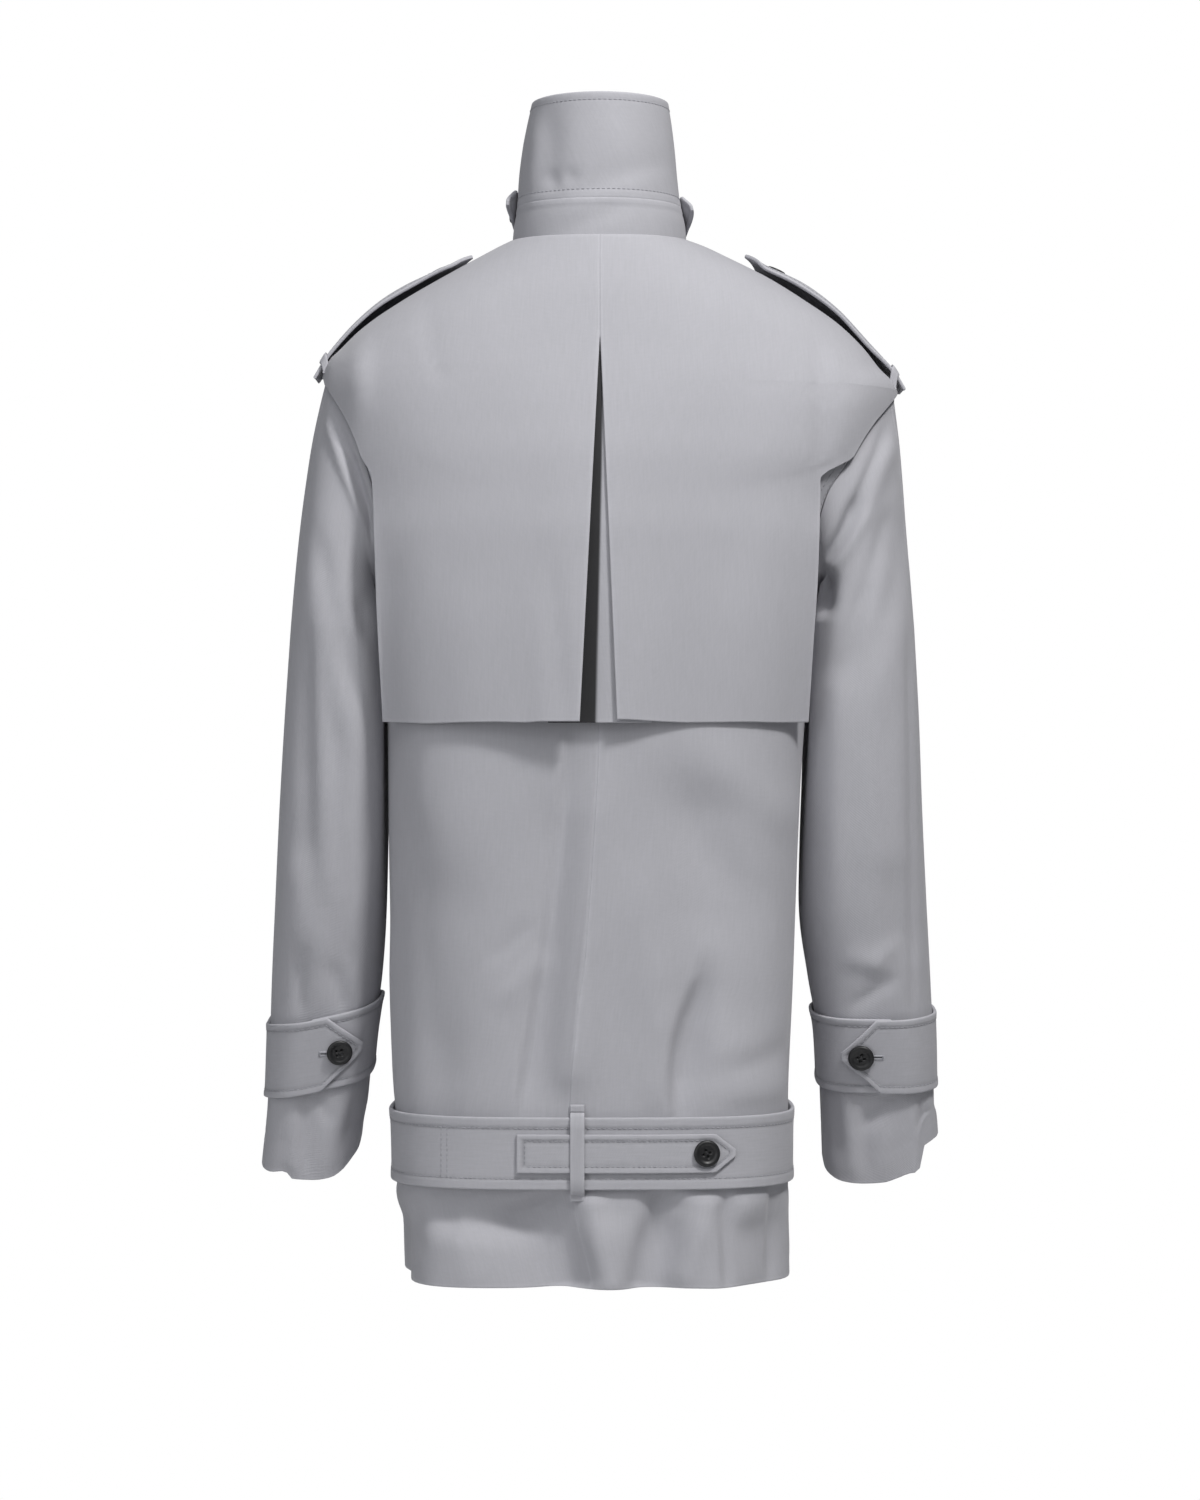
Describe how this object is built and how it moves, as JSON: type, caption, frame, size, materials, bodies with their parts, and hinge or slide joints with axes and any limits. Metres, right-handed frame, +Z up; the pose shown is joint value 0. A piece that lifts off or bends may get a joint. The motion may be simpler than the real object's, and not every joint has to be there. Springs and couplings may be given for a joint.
{
  "type": "cropped trench coat",
  "caption": "Short hollow trench coat as worn and buttoned, with a turned-up collar, loose split back cape, shoulder straps, cuff straps and a low belt.",
  "frame": {"origin": "centre of the neck opening, level with the neck seam at the back; the wearer's neck holds the coat there", "axes": "+Z up towards the collar's top edge, +X towards the wearer's left, +Y out of the coat's back"},
  "size_m": [0.5502, 0.2823, 0.9352],
  "materials": {
    "coat_cloth": "matte twill",
    "strap_cloth": "matte twill, doubled and topstitched",
    "black_button": "satin"
  },
  "bodies": {
    "root": {"back_left": "coat_cloth", "back_right": "coat_cloth", "front_left": "coat_cloth", "front_right": "coat_cloth", "sleeve_left_top": "coat_cloth", "sleeve_left_under": "coat_cloth", "sleeve_right_top": "coat_cloth", "sleeve_right_under": "coat_cloth", "cape_left": "coat_cloth", "cape_right": "coat_cloth", "cape_underlay": "coat_cloth", "collar_stand": "coat_cloth", "collar_fall": "coat_cloth", "throat_latch": "strap_cloth", "throat_button_left": "black_button", "throat_button_right": "black_button", "epaulette_left": "strap_cloth", "epaulette_right": "strap_cloth", "epaulette_loop_left": "strap_cloth", "epaulette_loop_right": "strap_cloth", "epaulette_button_left": "black_button", "epaulette_button_right": "black_button", "cuff_strap_left": "strap_cloth", "cuff_strap_right": "strap_cloth", "cuff_button_left": "black_button", "cuff_button_right": "black_button", "belt": "strap_cloth", "belt_loop": "strap_cloth", "belt_tab": "strap_cloth", "belt_tab_button": "black_button", "belt_front_button": "black_button", "front_button_1": "black_button", "front_button_2": "black_button", "front_button_3": "black_button", "front_button_4": "black_button", "front_button_5": "black_button", "front_button_6": "black_button", "front_button_7": "black_button", "front_button_8": "black_button"}
  },
  "joints": []
}
